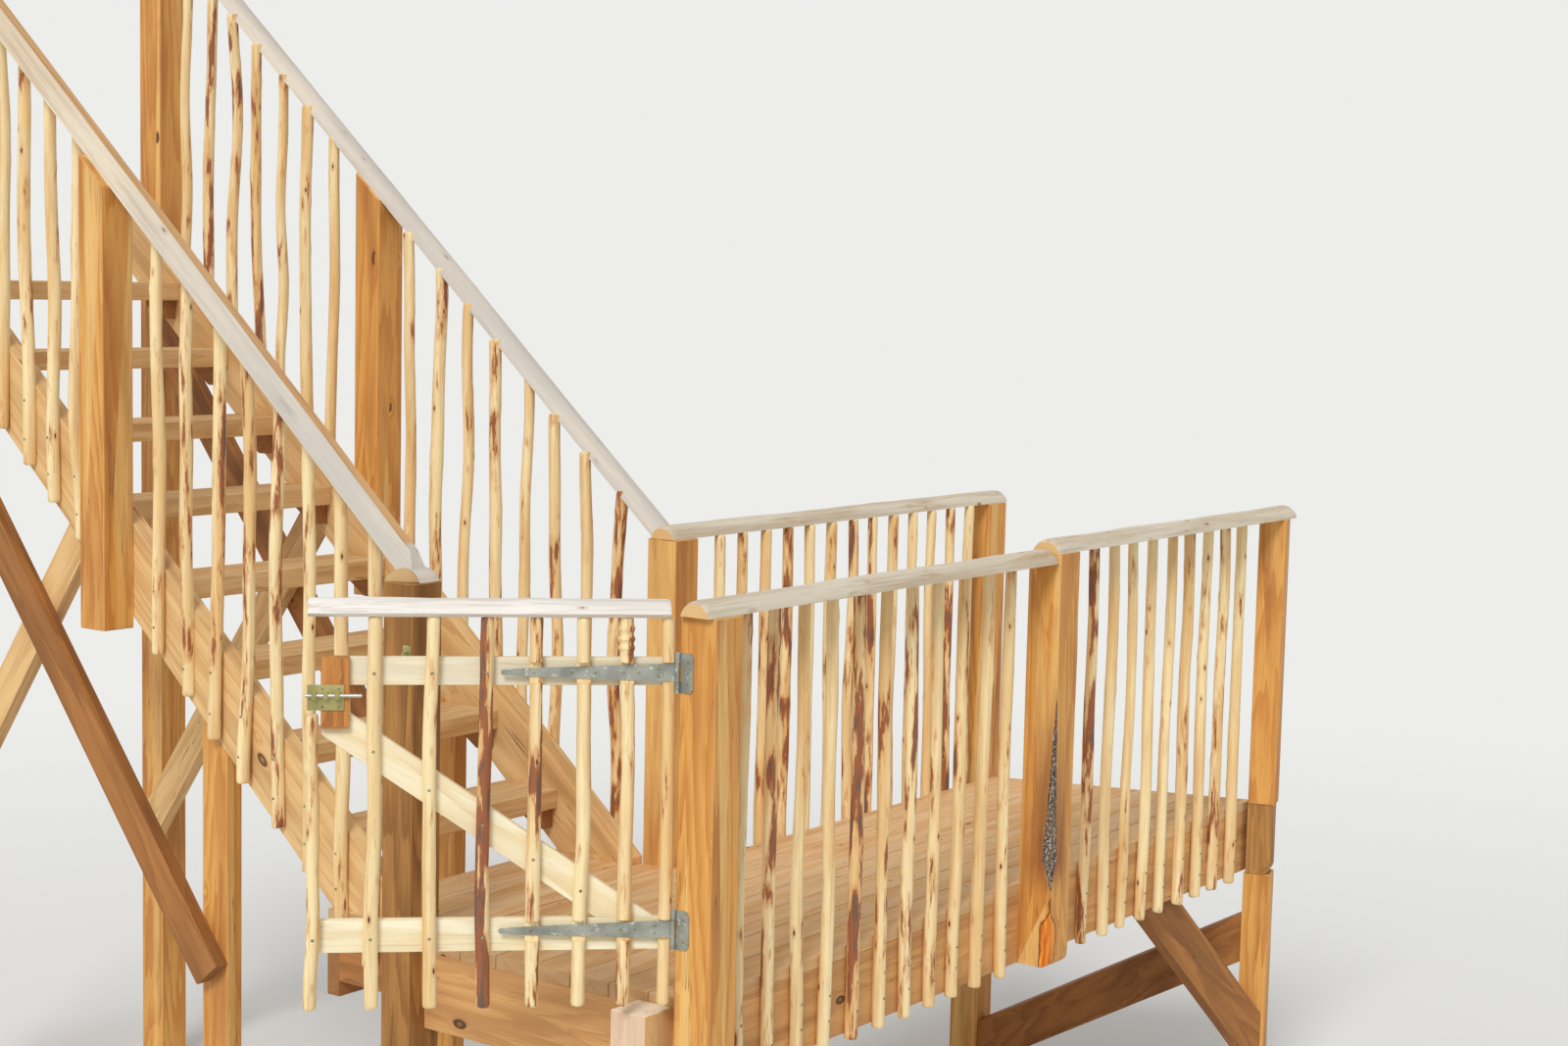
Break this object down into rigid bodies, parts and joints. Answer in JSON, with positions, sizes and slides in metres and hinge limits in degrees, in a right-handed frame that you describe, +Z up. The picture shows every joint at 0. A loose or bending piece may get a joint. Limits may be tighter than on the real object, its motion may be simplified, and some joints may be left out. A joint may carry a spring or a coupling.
{
  "type": "tree house entrance deck with gate and steps",
  "caption": "Timber tree house entrance: raised deck with picket rails, a strap-hinged gate with a slide bolt, and an open flight of steps.",
  "frame": {"origin": "centre of the gate post's foot, on the ground", "axes": "+X along the deck away from the gate, +Y up the flight of steps, +Z up"},
  "size_m": [4.3412, 3.81, 4.6057],
  "materials": {
    "post_timber": "weathered sawn timber",
    "deck_timber": "weathered sawn boards",
    "rail_timber": "smooth, pale and silvered",
    "picket_wood": "peeled, with remnants of bark",
    "gate_board": "sawn, pale",
    "brace_timber": "sawn boards",
    "step_timber": "weathered sawn boards",
    "hinge_steel": "galvanised, dull",
    "bolt_zinc": "yellow passivated",
    "rod_steel": "bright"
  },
  "bodies": {
    "frame": {"gate_post": "post_timber", "gate_newel": "post_timber", "far_newel": "post_timber", "rail_post": "post_timber", "corner_post": "post_timber", "corner_block": "post_timber", "corner_leg": "post_timber", "far_corner_post": "post_timber", "entry_leg": "step_timber", "near_fascia": "brace_timber", "far_fascia": "brace_timber", "front_fascia": "brace_timber", "end_fascia": "brace_timber", "deck_joists": "deck_timber", "deck_boards": "deck_timber", "landing_joists": "deck_timber", "landing_fascia": "brace_timber", "near_handrail_1": "rail_timber", "near_handrail_2": "rail_timber", "far_handrail": "rail_timber", "near_pickets_1": "picket_wood", "near_pickets_2": "picket_wood", "far_pickets": "picket_wood", "near_stringer": "step_timber", "far_stringer": "step_timber", "treads": "step_timber", "tread_cleats": "step_timber", "near_stair_rail": "rail_timber", "newel_cap": "rail_timber", "far_stair_rail": "rail_timber", "near_stair_pickets": "picket_wood", "far_stair_pickets": "picket_wood", "hung_posts": "post_timber", "head_posts": "post_timber", "flight_legs": "post_timber", "rising_braces": "brace_timber", "falling_braces": "step_timber", "end_brace": "brace_timber", "knee_brace": "brace_timber", "hinge_plates": "hinge_steel", "bolt_keeper": "bolt_zinc"},
    "gate": {"gate_top_rail": "rail_timber", "gate_mid_board": "gate_board", "gate_low_board": "gate_board", "gate_brace": "gate_board", "gate_pickets": "picket_wood", "latch_block": "post_timber", "strap_hinges": "hinge_steel", "bolt_plate": "bolt_zinc"},
    "bolt": {"bolt_rod": "rod_steel"}
  },
  "joints": [
    {"name": "gate_hinge", "type": "hinge", "parent": "frame", "child": "gate", "pos_m": [-0.068, 0.061, 1.2], "axis": [0, 0, 1], "range_deg": [-43.4, 45]},
    {"name": "bolt_slide", "type": "slide", "parent": "gate", "child": "bolt", "axis": [-0.6871, 0.7266, 0], "range_m": [0, 0.04]}
  ]
}
